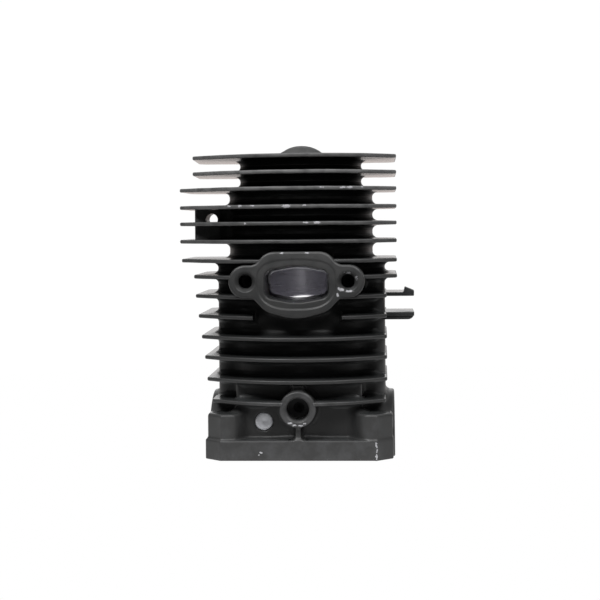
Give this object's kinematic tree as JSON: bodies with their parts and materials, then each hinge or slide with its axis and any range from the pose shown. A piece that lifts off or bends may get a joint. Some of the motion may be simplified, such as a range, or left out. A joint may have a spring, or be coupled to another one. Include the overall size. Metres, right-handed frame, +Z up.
{
  "type": "finned two-stroke engine cylinder",
  "caption": "Bare finned cylinder of a small air-cooled two-stroke engine, with its head and the upper crankcase half cast in one piece and painted black.",
  "frame": {"origin": "on the bore axis, in the joint face of the crankcase half, so the crank axis lies along X through the origin", "axes": "+Z up the bore towards the head and spark plug, -Y out of the exhaust port, +Y out of the intake port, X along the crankshaft"},
  "size_m": [0.0762, 0.0655, 0.1002],
  "materials": {
    "black_casting": "satin black paint over die-cast aluminium, worn bright on a few edges",
    "bore_metal": "honed hard lining, satin",
    "plug_metal": "bright pressed aluminium"
  },
  "bodies": {
    "root": {"crankcase_base": "black_casting", "barrel_skirt": "black_casting", "port_belt": "black_casting", "upper_barrel": "black_casting", "head": "black_casting", "spark_plug_boss": "black_casting", "exhaust_flange": "black_casting", "intake_flange": "black_casting", "impulse_boss": "black_casting", "bracket_web": "black_casting", "transfer_duct_left": "black_casting", "transfer_duct_right": "black_casting", "fin_01": "black_casting", "fin_02": "black_casting", "fin_03": "black_casting", "fin_04": "black_casting", "fin_05": "black_casting", "fin_06": "black_casting", "fin_07": "black_casting", "fin_08": "black_casting", "fin_09": "black_casting", "fin_10": "black_casting", "fin_11": "black_casting", "fin_12": "black_casting", "fin_13": "black_casting", "fin_14": "black_casting", "bore_lining": "bore_metal", "blanking_plug": "plug_metal"}
  },
  "joints": []
}
